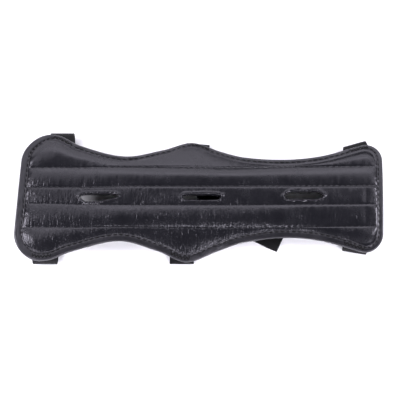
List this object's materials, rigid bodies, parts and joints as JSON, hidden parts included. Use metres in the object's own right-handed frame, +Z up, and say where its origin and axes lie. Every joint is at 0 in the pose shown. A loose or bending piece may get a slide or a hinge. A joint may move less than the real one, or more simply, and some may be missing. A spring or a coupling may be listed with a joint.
{
  "type": "archery arm guard",
  "caption": "Padded forearm guard for archery: an arched, channelled shield with vent slots, a bound edge and webbing straps and tabs folded beneath it.",
  "frame": {"origin": "on the surface that the guard lies on, below the middle of its whole outline", "axes": "+X along the guard from the elbow end to the wrist end, +Y from the tabs to the straps, +Z up through the outer face"},
  "size_m": [0.3056, 0.1174, 0.0209],
  "materials": {
    "vinyl": "glossy black coated cloth with a fine crease grain",
    "binding": "satin black coated cloth, folded over the edge and stitched",
    "webbing": "matte black woven elastic webbing"
  },
  "bodies": {
    "root": {"guard_pad": "vinyl", "edge_binding": "binding", "strap_elbow": "webbing", "strap_middle": "webbing", "strap_wrist": "webbing", "tab_elbow": "webbing", "tab_middle": "webbing", "tab_wrist": "webbing"}
  },
  "joints": []
}
